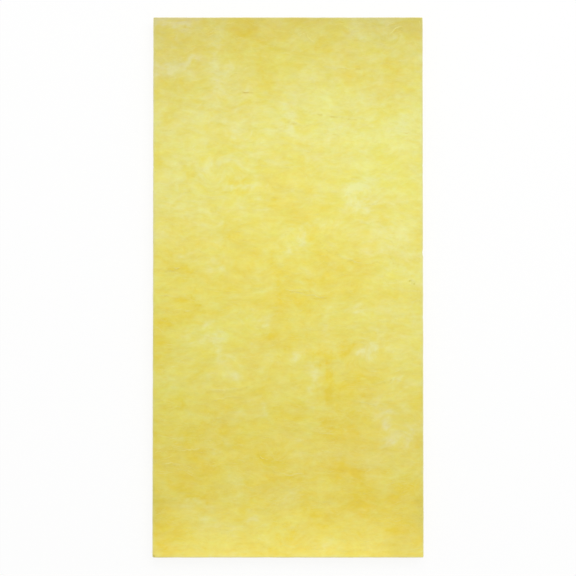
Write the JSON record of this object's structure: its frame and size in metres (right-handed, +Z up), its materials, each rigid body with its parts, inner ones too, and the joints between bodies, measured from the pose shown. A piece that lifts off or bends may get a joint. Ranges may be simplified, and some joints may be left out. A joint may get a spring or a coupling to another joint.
{
  "type": "rigid fiberglass insulation board",
  "caption": "Flat unfaced rigid board of yellow resin-bonded glass wool for thermal and acoustic insulation, with eased edges and slightly knocked long edges.",
  "frame": {"origin": "middle of the underside, in the plane that the board lies on", "axes": "+X across the board towards its right long edge, +Y along it towards its head end, +Z up through its thickness and out of the face that is seen"},
  "size_m": [0.6096, 1.2192, 0.0508],
  "materials": {
    "glass_wool": "matte felted glass fibre, resin bonded"
  },
  "bodies": {
    "root": {"fiberglass_board": "glass_wool"}
  },
  "joints": []
}
